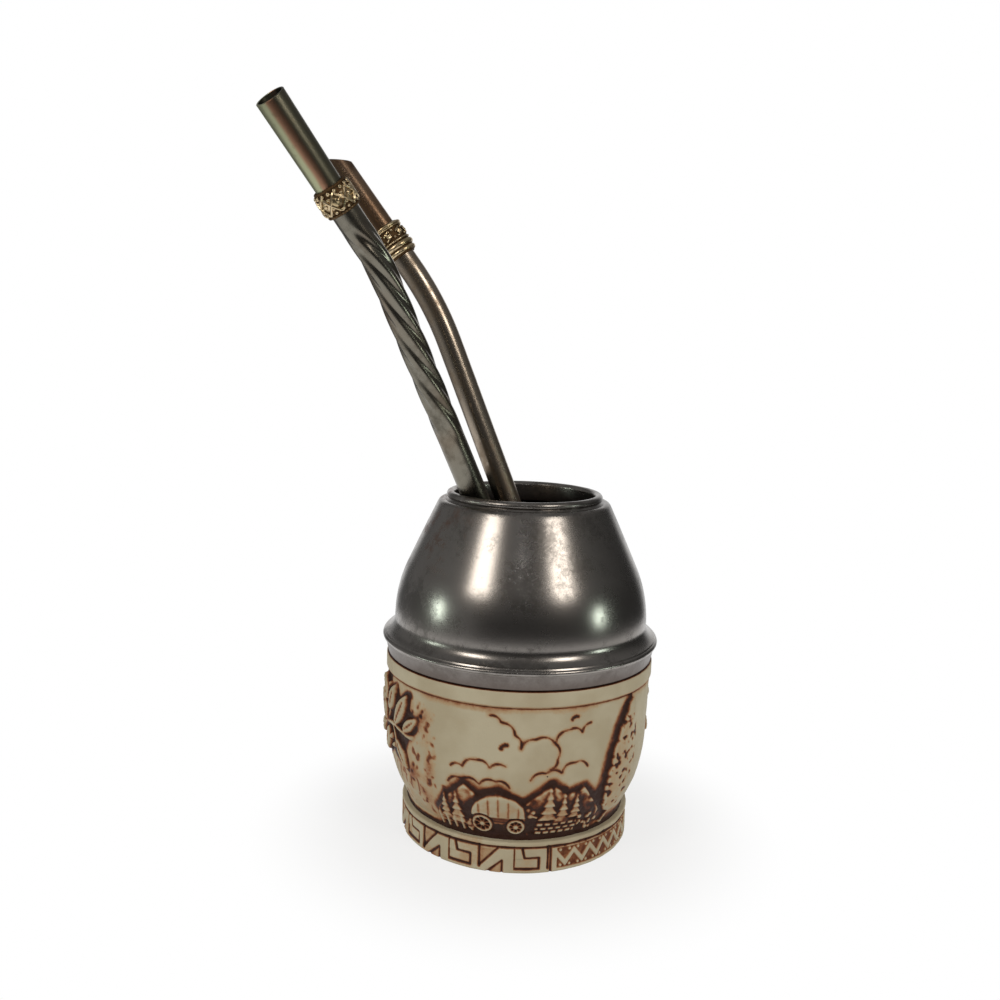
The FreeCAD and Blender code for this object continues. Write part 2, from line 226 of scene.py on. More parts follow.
def nickel_with_painted_light():
    """Nickel coloured by which way its skin faces: painted reflection olive on the left, a rose brown tint
    in the middle and painted shade dark grey on the right.
    """
    shade = Shade("olive nickel", metallic=1.0)
    drift = shade.noise(70, 2.0, 0.5)
    grime = shade.noise(420, 3.0, 0.6)
    # painted reflection and shade: the colour follows how far the skin faces +X, olive on the left, rose
    # brown in the middle, dark grey on the right
    side = shade.attribute("east") + (drift - 0.5) * 0.35
    colour = shade.mix(side.step(-0.30, -0.02), (0.42, 0.43, 0.27), (0.42, 0.23, 0.145))
    colour = shade.mix(side.step(0.18, 0.42), colour, (0.15, 0.14, 0.10))
    colour = shade.mix(grime.step(0.5, 0.7) * 0.4, colour, (0.16, 0.13, 0.08))
    recess = shade.attribute("recess")
    # painted shade: the bore, marked as a recess, is painted near black
    colour = shade.mix(recess * 0.95, colour, (0.02, 0.018, 0.015))
    return shade.finish(colour, 0.30 + grime * 0.08 + recess * 0.15, grime, 0.000003)


def ornament_metal():
    """Antique gold with brown left in the hollows."""
    shade = Shade("antique gold", metallic=1.0)
    grime = shade.noise(900, 3.0, 0.6)
    patch = shade.noise(240, 3.0, 0.6)
    recess = shade.attribute("recess")
    dirt = (recess + (patch - 0.5) * 0.9).step(0.25, 0.75)
    colour = shade.mix(patch.step(0.4, 0.65), (0.66, 0.52, 0.33), (0.46, 0.36, 0.20))
    colour = shade.mix(dirt, colour, (0.13, 0.075, 0.035))
    return shade.finish(colour, 0.22 + dirt * 0.35 + grime * 0.12, grime, 0.00004)


def resin():
    """Cream cast resin with brown patina wiped into its hollows; on the band the same attribute also
    carries a painted shade line under the hem.
    """
    shade = Shade("cast resin", specular=0.18)
    patina = shade.attribute("patina")
    fine = shade.noise(1500, 3.0, 0.65)
    grain = shade.noise(420, 4.0, 0.65)
    broad = shade.noise(60, 3.0, 0.55)
    tone = patina + (grain - 0.5) * (0.12 + patina * 0.9) + (fine - 0.5) * (0.10 + patina * 0.3)
    tone = tone + (broad - 0.5).most(0.0) * 0.12
    cream = shade.mix(broad.step(0.35, 0.65), (0.475, 0.415, 0.290), (0.41, 0.345, 0.230))
    colour = shade.mix(tone.step(0.06, 0.24), cream, (0.42, 0.29, 0.165))
    colour = shade.mix(tone.step(0.20, 0.46), colour, (0.28, 0.11, 0.045))
    colour = shade.mix(tone.step(0.42, 0.70), colour, (0.105, 0.026, 0.008))
    colour = shade.mix(tone.step(0.66, 1.0), colour, (0.030, 0.009, 0.004))
    pits = shade.cells(190).step(0.055, 0.02) * shade.noise(45, 1.0).step(0.5, 0.58)
    colour = shade.mix(pits * 0.9, colour, (0.05, 0.022, 0.014))
    rough = 0.50 + grain * 0.12 - tone.step(0.5, 0.9) * 0.05
    return shade.finish(colour, rough, grain * 0.6 + fine * 0.5 - pits * 1.5, 0.00012)


# --------------------------------------------------------------------- mesh tools

def arc(centre_x, centre_z, radius, start, end, count):
    """Points on an arc, by angles in degrees from +X."""
    return [
        (centre_x + radius * math.cos(math.radians(a)), centre_z + radius * math.sin(math.radians(a)))
        for a in np.linspace(start, end, count)
    ]


def divided(points, gap):
    """An outline with its runs divided so that no run is longer than the gap."""
    result = [points[0]]
    for start, end in zip(points, points[1:]):
        count = max(1, math.ceil(math.dist(start, end) / gap))
        for i in range(1, count + 1):
            result.append(tuple(a + (b - a) * i / count for a, b in zip(start, end)))
    return result


def wrap(mesh, sides, rows, place, near=1e-6):
    """Wrap a grid round an axis and close it; place(vert, turn, row) gives each point in metres."""
    verts = bmesh.ops.create_grid(mesh, x_segments=sides, y_segments=rows - 1, size=1.0)["verts"]
    for vert in verts:
        turn = (vert.co.x + 1) * math.pi
        vert.co = place(vert, turn, round((vert.co.y + 1) / 2 * (rows - 1)))
    bmesh.ops.remove_doubles(mesh, verts=verts, dist=near)
    return mesh


def lathe(outline, steps, mesh=None):
    """A bmesh turned about Z from an outline of (radius, height) in millimetres.

    It closes through the outline's first point or at its poles.
    """
    rows = list(outline)
    if outline[0][0] > 1e-6:
        rows.append(outline[0])

    def place(vert, turn, row):
        radius, height = rows[row]
        return radius * math.sin(turn) * MM, -radius * math.cos(turn) * MM, height * MM

    return wrap(mesh or bmesh.new(), steps, len(rows), place)


def piece(name, mesh, material, nodes, sharp=40.0):
    """Make an object of a bmesh, with its material and body, and hide the CAD parts it stands for."""
    bmesh.ops.recalc_face_normals(mesh, faces=mesh.faces)
    data = bpy.data.meshes.new(name)
    mesh.to_mesh(data)
    mesh.free()
    data.shade_smooth()
    data.set_sharp_from_angle(angle=math.radians(sharp))
    data.materials.append(material)
    thing = bpy.data.objects.new(name, data)
    bpy.context.scene.collection.objects.link(thing)
    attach(thing, "root")
    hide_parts(*nodes)
    return thing


def corners(thing):
    """The vertices of a piece in millimetres."""
    values = np.empty(len(thing.data.vertices) * 3)
    thing.data.vertices.foreach_get("co", values)
    return values.reshape(-1, 3) / MM


def store(thing, name, values):
    """Keep a value for each vertex under a name that materials read."""
    layer = thing.data.attributes.new(name, "FLOAT", "POINT")
    layer.data.foreach_set("value", np.asarray(values, dtype=np.float32))


# ----------------------------------------------------------------- sizes (mm)

POT_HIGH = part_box("resin_pot")[1] / MM
CUP_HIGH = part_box("metal_cup")[1] / MM
POT_HEIGHT = POT_HIGH.z
CUP_HEIGHT = CUP_HIGH.z
FLANGE_RADIUS = CUP_HIGH.x
BAND_RADIUS = POT_HIGH.x
BAND_FOOT = POT_HEIGHT - 4.4
RING_RADIUS = 33.5
RING_HEIGHT = 9.0
CAVITY_RADIUS = 33.3
RIM_RADIUS = 21.3
BEAD_RADIUS = 1.15
DOME_CORNER = 38.0
DOME_SLOPE = 26.0
DOME_INSET = 3.4
DOME_WALL = 1.3
FLARE_RADIUS = 4.2
FLARE_HEIGHT = 5.0
HEM_HEIGHT = 4.3
LIP_HEIGHT = 0.8
LIP_ROUND = 0.85
WAIST_RADIUS = 32.2
WAIST_TOP = 11.2
POT_FLOOR = 5.9
CUP_STEPS = 256
RELIEF_STEPS = 680
RING_STEPS = 1100


# ------------------------------------------------------------------------- metal cup

def make_cup():
    """Rolled rim, dome, flared flange, hem band and the vessel inside the pot."""
    bead_z = CUP_HEIGHT - BEAD_RADIUS
    flange_z = POT_HEIGHT + HEM_HEIGHT
    lip_z = flange_z + LIP_HEIGHT
    belt_z = lip_z + FLARE_HEIGHT
    belt = FLANGE_RADIUS - DOME_INSET
    inside = belt - DOME_WALL
    seat_z = POT_HEIGHT + 0.05
    outline = [(RIM_RADIUS - BEAD_RADIUS, bead_z - 4.5)]
    outline += arc(RIM_RADIUS, bead_z, BEAD_RADIUS, 180, -42, 24)
    outline += arc(RIM_RADIUS + 2.05, CUP_HEIGHT - 4.05, 1.7, 112, DOME_SLOPE, 9)
    shoulder = arc(belt - DOME_CORNER, belt_z, DOME_CORNER, DOME_SLOPE, 0, 30)
    outline += crown(outline[-1], shoulder[0], 0.06, 20)
    outline += shoulder[1:-1]
    outline += arc(belt + FLARE_RADIUS, belt_z, FLARE_RADIUS, 180, 247, 14)
    outline += arc(FLANGE_RADIUS - LIP_ROUND, lip_z - 0.05, LIP_ROUND, 75, -75, 14)
    outline += [(FLANGE_RADIUS - LIP_ROUND, flange_z - 0.75), (FLANGE_RADIUS - 1.6, seat_z + 0.3)]
    outline += [(FLANGE_RADIUS - 1.95, seat_z), (33.0, seat_z)]
    outline += arc(13.0, 26.0, 20.0, 0, -90, 14)
    outline += [(0.0, 6.0), (0.0, 7.2)]
    outline += arc(13.0, 26.0, 18.8, -90, 0, 14)
    outline += [(31.8, POT_HEIGHT + 1.2), (inside, lip_z), (inside, belt_z)]
    outline += arc(belt - DOME_CORNER, belt_z, DOME_CORNER - DOME_WALL, 0, DOME_SLOPE, 10)
    outline += [(23.4, bead_z - 5.4)]
    cup = piece("cup", lathe(outline, CUP_STEPS), dome_metal(), ["metal_cup"], sharp=32)
    spots = corners(cup)
    radius = np.hypot(spots[:, 0], spots[:, 1])
    levels = [0, 53, 57, 63, 72, 80, 93, 95, 97]
    middle = [33, 33, 34, 35.9, 35.2, 32.3, 25.5, 22, 20.3]
    wall = np.interp(spots[:, 2], levels, middle)
    # painted shade: vertices inside the cup wall, below the rim, are marked to be painted near black
    shaded_inside_mask = (radius < wall) & (spots[:, 2] < bead_z - 2.5)
    store(cup, "inside", shaded_inside_mask)


def crown(start, end, rise, count):
    """Points of a shallow outward bow between two points, without the last."""
    (x0, z0), (x1, z1) = start, end
    length = math.dist(start, end)
    across = ((z0 - z1) / length, (x1 - x0) / length)
    result = []
    for step in range(1, count + 1):
        t = step / count
        bow = 4 * rise * t * (1 - t)
        result.append((x0 + (x1 - x0) * t + across[0] * bow, z0 + (z1 - z0) * t + across[1] * bow))
    return result


# ------------------------------------------------------------------------ the straws

class Route:
    """A straw's centreline in millimetres, by length from its entry at the rim."""

    def __init__(self, entry, lower, upper, bend_start, bend_radius):
        self.entry = Vector(entry)
        self.lower = Vector(lower).normalized()
        self.upper = Vector(upper).normalized()
        self.start = bend_start
        self.radius = bend_radius
        self.angle = self.lower.angle(self.upper)
        self.side = self.lower.cross(self.upper).normalized()
        self.inward = self.side.cross(self.lower)

    def at(self, length):
        """The point, the direction and the direction across the bend at a length."""
        if length <= self.start:
            return self.entry + self.lower * length, self.lower, self.inward
        turn = min((length - self.start) / self.radius, self.angle)
        point = self.entry + self.lower * self.start
        point += self.lower * (math.sin(turn) * self.radius)
        point += self.inward * ((1 - math.cos(turn)) * self.radius)
        along = self.lower * math.cos(turn) + self.inward * math.sin(turn)
        across = self.inward * math.cos(turn) - self.lower * math.sin(turn)
        rest = length - self.start - self.angle * self.radius
        return point + along * max(0.0, rest), along, across

    def frame(self, length):
        """The matrix that stands a piece built about Z, in metres, on the straw at a length."""
        point, along, across = self.at(length)
        turned = Matrix((across, self.side, along)).transposed().to_4x4()
        return Matrix.Translation(point * MM) @ turned


TWISTED = Route((-13.763, -7.441, 99.1), (-0.402, -0.36, 1), (-0.66, -0.42, 1), 65.0, 60.6)
PLAIN = Route((-5.807, 4.0, 99.1), (-0.404, 0, 1), (-0.75, 0, 1), 46.0, 92.0)
TWISTED_FOOT, TWISTED_JOINT, TWISTED_END = -89.9, 89.4, 116.7
PLAIN_FOOT, PLAIN_JOINT, PLAIN_END = -87.1, 78.2, 105.6
TWISTED_RADIUS, TWISTED_MOUTH = 3.7, 3.85
MOUTHPIECE_RADIUS = 3.55
PLAIN_RADIUS = 3.53
TUBE_WALL = 0.55
MOUTH_SLANT = 0.15
TWIST_LOBES = 6
TWIST_PITCH = 68.0
TWIST_DEPTH = 0.52
TWIST_CREST = 0.12
TWIST_START, TWIST_FULL = 16.0, 34.0
TWIST_FADE, TWIST_STOP = 74.0, 84.0


def tube(route, lengths, radius_at, wall, segments=64, cut=None):
    """A hollow tube along a route; radius_at(lengths, angles) gives its outer radius.

    It runs up the outer skin, over the lip and down the bore. The far end is cut across the
    direction given as cut. The bore is marked as a recess, which the straw metals paint near
    black as shade; east says how far the skin faces +X, used for painted reflection and shade.
    """
    outer = [(length, 0.0) for length in lengths]
    last, first = lengths[-1], lengths[0]
    lip = [(last + 0.10, 0.10), (last + 0.10, wall - 0.10), (last, wall)]
    bore = [(length, wall) for length in lengths[::-6]]
    rows = outer + lip + bore + [(first, wall), (first, 0.0)]
    mesh = bmesh.new()
    recess = mesh.verts.layers.float.new("recess")
    east = mesh.verts.layers.float.new("east")

    def place(vert, turn, row):
        length, inset = rows[row]
        vert[recess] = 1.0 if inset == wall else 0.0
        radius = radius_at(length, turn) if inset == 0 else radius_at(length, None) - inset
        point, along, across = route.at(length)
        out = across * math.cos(turn) + route.side * math.sin(turn)
        vert[east] = out.x
        out *= radius
        if cut is not None:
            share = max(0.0, (length - first) / (last - first))
            out -= along * (share ** 2 * out.dot(cut) / along.dot(cut))
        return (point + out) * MM

    return wrap(mesh, segments, len(rows), place, near=2e-6)


def smooth(value, low, high):
    """A smooth rise from 0 at low to 1 at high, for numbers and arrays."""
    t = np.clip((value - low) / (high - low), 0.0, 1.0)
    return t * t * (3 - 2 * t)


def twisted_radius(length, turn):
    """Rounded flutes that wind down the straw and fade out at both ends."""
    if turn is None:
        return TWISTED_RADIUS
    strength = smooth(length, TWIST_START, TWIST_FULL) * smooth(length, TWIST_STOP, TWIST_FADE)
    wave = math.cos(TWIST_LOBES * (turn + 2 * math.pi * length / TWIST_PITCH))
    return TWISTED_RADIUS + strength * (TWIST_CREST - TWIST_DEPTH * (0.5 - 0.5 * wave) ** 1.5)


def make_tubes(steel):
    """The two straws from their feet in the cup to their ornaments."""
    lengths = list(np.arange(TWISTED_FOOT, TWISTED_JOINT, 0.55))
    mesh = tube(TWISTED, lengths, twisted_radius, TUBE_WALL, segments=112)
    piece("twisted_tube", mesh, steel, ["twisted_straw_tube"])
    lengths = list(np.arange(PLAIN_FOOT, PLAIN_JOINT, 1.1))
    mesh = tube(PLAIN, lengths, lambda length, turn: PLAIN_RADIUS, TUBE_WALL)
    plain = piece("plain_tube", mesh, steel, ["plain_straw_tube"])
    store(plain, "warmth", np.ones(len(plain.data.vertices)))


def make_mouthpieces(nickel, bronze):
    """The flared mouthpiece of the twisted straw and the level-cut one of the plain straw."""
    def flared(length, turn):
        share = (length - TWISTED_JOINT) / (TWISTED_END - TWISTED_JOINT)
        return MOUTHPIECE_RADIUS + (TWISTED_MOUTH - MOUTHPIECE_RADIUS) * max(0.0, share)

    lengths = list(np.linspace(TWISTED_JOINT, TWISTED_END - 0.1, 40))
    facing = TWISTED.upper.lerp(Vector((0.0, -1.0, 0.0)), MOUTH_SLANT).normalized()
    mesh = tube(TWISTED, lengths, flared, TUBE_WALL, cut=facing)
    piece("twisted_mouthpiece", mesh, nickel, ["twisted_straw_mouthpiece"])
    lengths = list(np.linspace(PLAIN_JOINT, PLAIN_END - 0.1, 44))
    mesh = tube(PLAIN, lengths, lambda length, turn: PLAIN_RADIUS, TUBE_WALL, cut=Vector((0, 0, 1)))
    piece("plain_mouthpiece", mesh, bronze, ["plain_straw_mouthpiece"])


def wire(mesh, points, thickness):
    """Add a bent wire through points in millimetres, with rounded ends."""
    points = [Vector(p) for p in points]
    last = len(points) - 1

    def place(vert, turn, i):
        along = (points[min(i + 1, last)] - points[max(i - 1, 0)]).normalized()
        out = Vector((points[i].x, points[i].y, 0.0)).normalized()
        side = along.cross(out).normalized()
        out = side.cross(along)
        taper = 0.25 if i in (0, last) else 1.0
        return (points[i] + (out * math.cos(turn) + side * math.sin(turn)) * thickness * taper) * MM

    wrap(mesh, 8, len(points), place)


def on_drum(radius, turn, height):
    """A point in millimetres on an upright drum, by its angle in degrees."""
    a = math.radians(turn)
    return (radius * math.cos(a), radius * math.sin(a), height)


def ball(mesh, centre, size, stretch=(1, 1, 1)):
    """Add a ball in millimetres, stretched along its own upright frame."""
    turn = math.atan2(centre[1], centre[0])
    place = Matrix.Translation(Vector(centre) * MM) @ Matrix.Rotation(turn, 4, "Z")
    place = place @ Matrix.Diagonal((*stretch, 1))
    bmesh.ops.create_icosphere(mesh, subdivisions=3, radius=size * MM, matrix=place)


def rope(mesh, radius, height, thickness, turns, steps=160, tall=1.0):
    """Add a ring of twisted cord about Z; tall stretches it along the straw."""
    def place(vert, a, row):
        b = 2 * math.pi * row / steps
        thick = thickness * (1 + 0.12 * math.cos(turns * b + 2 * a))
        spot = (radius + thick * math.cos(a)) * MM
        return spot * math.cos(b), spot * math.sin(b), (height + tall * thick * math.sin(a)) * MM

    wrap(mesh, 12, steps + 1, place, near=1e-7)


def place_ornament(name, mesh, route, length, material, nodes, deep, proud):
    """Stand an ornament on its straw and mark its hollows."""
    radii = [math.hypot(v.co.x, v.co.y) / MM for v in mesh.verts]
    mesh.transform(route.frame(length))
    thing = piece(name, mesh, material, nodes)
    store(thing, "recess", 1 - smooth(np.array(radii), deep, proud))


STONE_TURN = 200.0
RING_BEADS = ((4.72, 22.5, -1.1, 0.46), (4.72, 22.5, 1.2, 0.42), (4.8, 11, 0.5, 0.3), (4.8, 34, -0.3, 0.3))


def make_ring(gold):
    """The openwork ring of the twisted straw: a barrel under crossed wires, beads and bosses."""
    mesh = bmesh.new()
    low, high = -3.4, 3.4
    barrel = [(4.05 + 0.62 * (1 - (h / high) ** 2), h) for h in np.linspace(low, high, 13)]
    lathe([(3.72, low)] + barrel + [(3.72, high)], 72, mesh)
    rope(mesh, 4.1, low + 0.3, 0.42, 30)
    rope(mesh, 4.05, high - 0.25, 0.38, 30)
    for i in range(16):
        ball(mesh, on_drum(4.5, i * 22.5 + 8, high - 1.0), 0.52)
        ball(mesh, on_drum(4.5, i * 22.5, low + 1.1), 0.46)
    for i in range(8):
        for lean in (-45, 45):
            path = [
                on_drum(4.55 + 0.34 * math.sin(math.pi * t), i * 45 + lean * t, low + 0.7 + 5.0 * t)
                for t in np.linspace(0, 1, 12)
            ]
            wire(mesh, path, 0.36)
        ball(mesh, on_drum(4.68, i * 45, 0.1), 0.7, (0.6, 1.0, 1.0))
        for out, turn, height, size in RING_BEADS:
            ball(mesh, on_drum(out, i * 45 + turn, height), size)
    for turn in (STONE_TURN, STONE_TURN + 120, STONE_TURN + 240):
        ball(mesh, on_drum(4.62, turn, 0.0), 1.05, (0.5, 0.9, 1.3))
    place_ornament("twisted_ring", mesh, TWISTED, TWISTED_JOINT, gold, ["twisted_straw_ring"], 4.35, 4.85)


COLLAR_BEADS = ((4.72, 8, 1.5, 0.5), (4.7, 22, 0.5, 0.34), (4.7, 22, 2.6, 0.34))


def make_collar(gold):
    """The collar of the plain straw: a drum of scrolls over two smooth fat beads."""
    mesh = bmesh.new()
    outline = [(3.55, -4.7), (4.0, -4.7), (4.5, -3.0), (4.4, -1.0)]
    outline += [(4.55, -0.8), (4.75, -0.6), (4.75, -0.4), (4.5, -0.2), (4.45, 0.4), (4.5, 3.6)]
    outline += arc(4.72, 4.1, 0.45, -60, 95, 8) + [(4.3, 4.8), (3.55, 4.8)]
    lathe(outline, 96, mesh)
    rope(mesh, 4.15, -1.95, 0.95, 0, tall=1.1)
    rope(mesh, 4.0, -3.65, 0.80, 0, tall=1.1)
    rope(mesh, 4.75, -0.55, 0.24, 40)
    rope(mesh, 4.8, 3.45, 0.2, 44)
    for i in range(8):
        turn = i * 45
        for sign in (-1, 1):
            path = []
            for t in np.linspace(0, 1, 16):
                a = math.pi * (0.3 + 1.6 * t)
                size = 1.15 - 0.65 * t
                height = 1.5 + sign * size * math.sin(a)
                path.append(on_drum(4.78, turn + sign * (6 + size * 10 * math.cos(a)), height))
            wire(mesh, path, 0.26)
        for out, shift, height, size in COLLAR_BEADS:
            ball(mesh, on_drum(out, turn + shift, height), size)
    place_ornament("plain_collar", mesh, PLAIN, PLAIN_JOINT, gold, ["plain_straw_collar"], 4.5, 4.9)


# ------------------------------------------------------------------------- resin relief

def to_line(x, y, points):
    """Distance from (x, y) to a line through points, and the share of the way along it."""
    best = np.full_like(x, 1e9)
    along = np.zeros_like(x)
    for i, ((x0, y0), (x1, y1)) in enumerate(zip(points, points[1:])):
        dx, dy = x1 - x0, y1 - y0
        t = np.clip(((x - x0) * dx + (y - y0) * dy) / (dx * dx + dy * dy + 1e-9), 0, 1)
        far = np.hypot(x - x0 - t * dx, y - y0 - t * dy)
        along = np.where(far < best, (i + t) / (len(points) - 1), along)
        best = np.minimum(best, far)
    return best, along


class Relief:
    """A height field, in millimetres, wrapped round the pot, with its patina."""

    def __init__(self, radius, low, high, gap):
        self.turn = 2 * math.pi * radius
        self.radius = radius
        self.low = low
        self.gap = gap
        across = np.arange(0, self.turn, gap) - self.turn / 2
        up = np.arange(low, high + gap, gap)
        self.s, self.z = np.meshgrid(across, up, indexing="ij")
        self.height = np.zeros_like(self.s)
        self.patina = np.zeros_like(self.s)

    def local(self, s, z, angle=0.0):
        """Coordinates about a point, turned by an angle in degrees."""
        x = (self.s - s + self.turn / 2) % self.turn - self.turn / 2
        y = self.z - z
        a = math.radians(angle)
        return x * math.cos(a) + y * math.sin(a), y * math.cos(a) - x * math.sin(a)

    def path(self, points):
        """Distance to a line through points on the pot, and the share of the way along it."""
        s0, z0 = points[0]
        x, y = self.local(s0, z0)
        return to_line(x, y, [(s - s0, z - z0) for s, z in points])

    def raise_to(self, height):
        """Lift the surface to a height where that is higher."""
        self.height = np.maximum(self.height, height)

    def cut(self, distance, width, depth, dark=1.0):
        """Carve a groove along a distance field and darken it."""
        groove = 1 - smooth(distance, width * 0.25, width)
        self.height -= depth * groove
        self.patina = np.maximum(self.patina, dark * groove)

    def shade(self, amount):
        """Add brown patina."""
        self.patina = np.clip(self.patina + amount, 0, 1.3)

    def clean(self, mask):
        """Wipe patina off."""
        self.patina *= 1 - mask

    def grain(self, size, seed):
        """Smooth random values about zero with features of a size in millimetres."""
        noise = np.random.default_rng(seed).standard_normal(self.s.shape)
        noise = self.blur(noise, size)
        return noise / (noise.std() + 1e-9)

    def blur(self, values, size):
        """Spread values by a Gaussian of a size in millimetres."""
        spread = size / self.gap
        fs = np.fft.fftfreq(values.shape[0])[:, None]
        fz = np.fft.fftfreq(values.shape[1] * 2)[None, :]
        kernel = np.exp(-2 * (math.pi * spread) ** 2 * (fs ** 2 + fz ** 2))
        mirrored = np.concatenate([values, values[:, ::-1]], axis=1)
        result = np.fft.ifft2(np.fft.fft2(mirrored) * kernel).real
        return result[:, : values.shape[1]]

    def sample(self, field, spots):
        """Values of a field at points on the pot."""
        turn = np.arctan2(spots[:, 0], -spots[:, 1])
        i = (turn * self.radius + self.turn / 2) / self.gap
        j = (spots[:, 2] - self.low) / self.gap
        columns, rows = field.shape
        j = np.clip(j, 0, rows - 1.001)
        i0, j0 = np.floor(i).astype(int), np.floor(j).astype(int)
        fi, fj = i - i0, j - j0
        i0, i1 = i0 % columns, (i0 + 1) % columns
        low = field[i0, j0] * (1 - fi) + field[i1, j0] * fi
        high = field[i0, j0 + 1] * (1 - fi) + field[i1, j0 + 1] * fi
        return low * (1 - fj) + high * fj


def leaf(relief, s, z, angle, length, width, height):
    """A pointed leaf with a midrib and side veins; it starts at (s, z)."""
    x, y = relief.local(s, z, angle)
    t = np.clip(x / length, 0, 1)
    half = width / 2 * np.sin(math.pi * t ** 0.85) ** 0.8
    inside = smooth(half - np.abs(y), -0.05, 0.45) * (x > 0) * (x < length)
    dome = 0.62 + 0.38 * np.sqrt(np.clip(1 - (y / (half + 0.01)) ** 2, 0, 1))
    vein = np.abs((x - np.abs(y) * 1.1) / 1.5 % 1 - 0.5) * 2
    body = height * dome * inside - 0.16 * smooth(vein, 0.65, 1.0) * inside
    rib = 1 - smooth(np.abs(y), 0.08, 0.34)
    body -= 0.25 * rib * inside
    edge = (np.abs(half - np.abs(y)) < 0.9) & (x > -0.5) & (x < length + 0.5)
    relief.shade(0.4 * edge * (inside < 0.4))
    relief.clean(0.95 * inside)
    relief.shade((0.55 * rib + 0.3 * smooth(vein, 0.7, 1.0)) * inside)
    relief.raise_to(body)


def stem(relief, points, thickness, height):
    """A round twig through points."""
    far, along = relief.path(points)
    thin = thickness * (1 - 0.4 * along)
    inside = smooth(thin - far, 0.0, 0.3)
    relief.clean(0.8 * inside)
    relief.raise_to(height * np.sqrt(np.clip(1 - (far / (thin + 0.3)) ** 2, 0, 1)))


def berry(relief, s, z, size, height):
    """A round berry with a dark line round it."""
    x, y = relief.local(s, z)
    far = np.hypot(x, y)
    relief.shade(0.8 * (1 - smooth(np.abs(far - size - 0.15), 0.1, 0.5)))
    relief.clean(0.9 * (far < size))
    relief.raise_to(height * np.sqrt(np.clip(1.05 - (far / size) ** 2, 0, 1)))


def cloud_line(relief, points, width=0.27):
    """A carved line of puffs between points; each puff bows to the left of its run."""
    line = [points[0]]
    for start, end in zip(points, points[1:]):
        dx, dz = end[0] - start[0], end[1] - start[1]
        for t in np.linspace(0.2, 1, 5):
            bow = 0.85 * t * (1 - t)
            line.append((start[0] + dx * t - dz * bow, start[1] + dz * t + dx * bow))
    far, along = relief.path(line)
    depth = 0.26 + 0.08 * np.sin(along * 29)
    relief.cut(far, width * (1.05 + 0.45 * np.sin(along * 23 + points[0][0])), depth)
    relief.shade(0.12 * (1 - smooth(far, 0.2, 1.5)))


def pine(relief, s, z, height, width, rise):
    """A pine of drooping tiers on a short trunk."""
    x, y = relief.local(s, z)
    t = np.clip(y / height, 0, 1)
    tier = (t * 5) % 1
    half = width / 2 * (1 - t) * (0.62 + 0.55 * (1 - tier))
    inside = smooth(half - np.abs(x), -0.1, 0.35) * (y > 0) * (y < height)
    relief.shade(0.55 * (1 - smooth(np.abs(x) - half, 0.0, 1.3)) * (y > -1) * (y < height + 1))
    relief.clean(0.92 * inside)
    relief.shade(0.8 * inside * smooth(tier, 0.25, 0.02))
    relief.raise_to(rise * inside * (0.55 + 0.45 * (1 - tier)))


def bush(relief, s, z, size, rise, seed):
    """A clump of round leaves."""
    rand = np.random.default_rng(seed)
    for _ in range(9):
        a, r = rand.uniform(0, 2 * math.pi), rand.uniform(0, 1) ** 0.6 * size
        berry(relief, s + r * math.cos(a) * 1.2, z + r * math.sin(a), rand.uniform(0.55, 0.95), rise)


def hill(relief, points, rise, seed):
    """A ridge: the ground below a line is raised, with a dark line along its crest."""
    far = relief.path(points)[0]
    s0 = points[0][0]
    x = relief.local(s0, 0.0)[0]
    crest = np.interp(x, [p[0] - s0 for p in points], [p[1] for p in points], left=-99, right=-99)
    below = smooth(crest - relief.z, -0.1, 0.5)
    fade = np.exp(-np.clip(crest - relief.z, 0, 99) / 5.0)
    ridge = np.abs(relief.grain(0.9, seed))
    relief.shade(0.9 * (1 - smooth(far, 0.15, 2.6)) * (1 - below))
    relief.clean(0.85 * below * fade)
    relief.shade(0.42 * below * ridge * fade)
    relief.raise_to(below * rise * (0.45 + 0.55 * fade) - 0.12 * ridge * below)


def fence(relief, s, z, length, posts, rise):
    """Posts and two rails of a field fence."""
    for k in (1.2, 2.6):
        far = relief.path([(s, z + k), (s + length, z + k + 0.3)])[0]
        relief.clean(0.8 * (far < 0.35))
        relief.raise_to(rise * 0.7 * (1 - smooth(far, 0.2, 0.5)))
    for i in range(posts):
        foot = s + length * i / (posts - 1)
        far = relief.path([(foot, z), (foot + 0.15, z + 3.6)])[0]
        relief.clean(0.8 * (far < 0.5))
        relief.raise_to(rise * (1 - smooth(far, 0.35, 0.65)))


def wall(relief, s, z, length, height, rise):
    """A dry-stone wall of rounded stones in staggered rows."""
    x, y = relief.local(s, z)
    row = np.floor(y / 1.5)
    px = ((x / 2.4 + 0.5 * (row % 2)) % 1 - 0.5) * 2.4
    py = (y / 1.5 % 1 - 0.5) * 1.5
    box = (x > 0) & (x < length) & (y > 0) & (y < height)
    stone = smooth(np.maximum(np.abs(px) - 0.95, np.abs(py) - 0.52), 0.15, -0.15)
    relief.shade(0.9 * box * (1 - stone))
    relief.clean(0.8 * box * stone)
    relief.raise_to(box * rise * (0.35 + 0.65 * stone))


